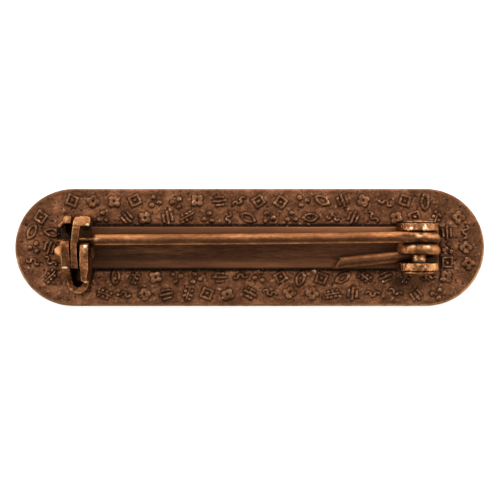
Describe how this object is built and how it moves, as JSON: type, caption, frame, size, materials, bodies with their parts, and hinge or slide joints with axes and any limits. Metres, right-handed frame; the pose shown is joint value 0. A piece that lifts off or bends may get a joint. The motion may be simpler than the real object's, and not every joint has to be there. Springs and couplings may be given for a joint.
{
  "type": "bar badge with brooch pin",
  "caption": "Round-ended bar badge lying on its plain front, with cast relief on its back, a strip, a riveted spring brooch pin and a locking catch.",
  "frame": {"origin": "on the resting surface, under the middle of the badge", "axes": "+X along the badge from the catch to the hinge, +Y across the badge towards the needle's side, +Z out of the badge's back"},
  "size_m": [0.044, 0.011, 0.0066],
  "materials": {
    "aged_bronze": "dark antique bronze, low sheen, rubbed lighter on raised lines",
    "wire_metal": "antique bronze wire, satin, lighter along its top",
    "rivet_metal": "rubbed antique bronze with bright worn points",
    "latch_metal": "rubbed antique bronze, hand-bent sheet"
  },
  "bodies": {
    "base": {"badge_plate": "aged_bronze", "hinge_rivet": "rivet_metal"},
    "pin": {"pin_wire": "wire_metal"},
    "latch": {"catch_latch": "latch_metal", "catch_rivet": "rivet_metal"}
  },
  "joints": [
    {"name": "pin_hinge", "type": "hinge", "parent": "base", "child": "pin", "pos_m": [0.01555, 0, 0.00435], "axis": [0, 1, 0], "range_deg": [0, 170]},
    {"name": "latch_turn", "type": "hinge", "parent": "base", "child": "latch", "pos_m": [-0.01597, -0.00029, 0.0038], "axis": [1, 0, 0], "range_deg": [0, 80]}
  ]
}
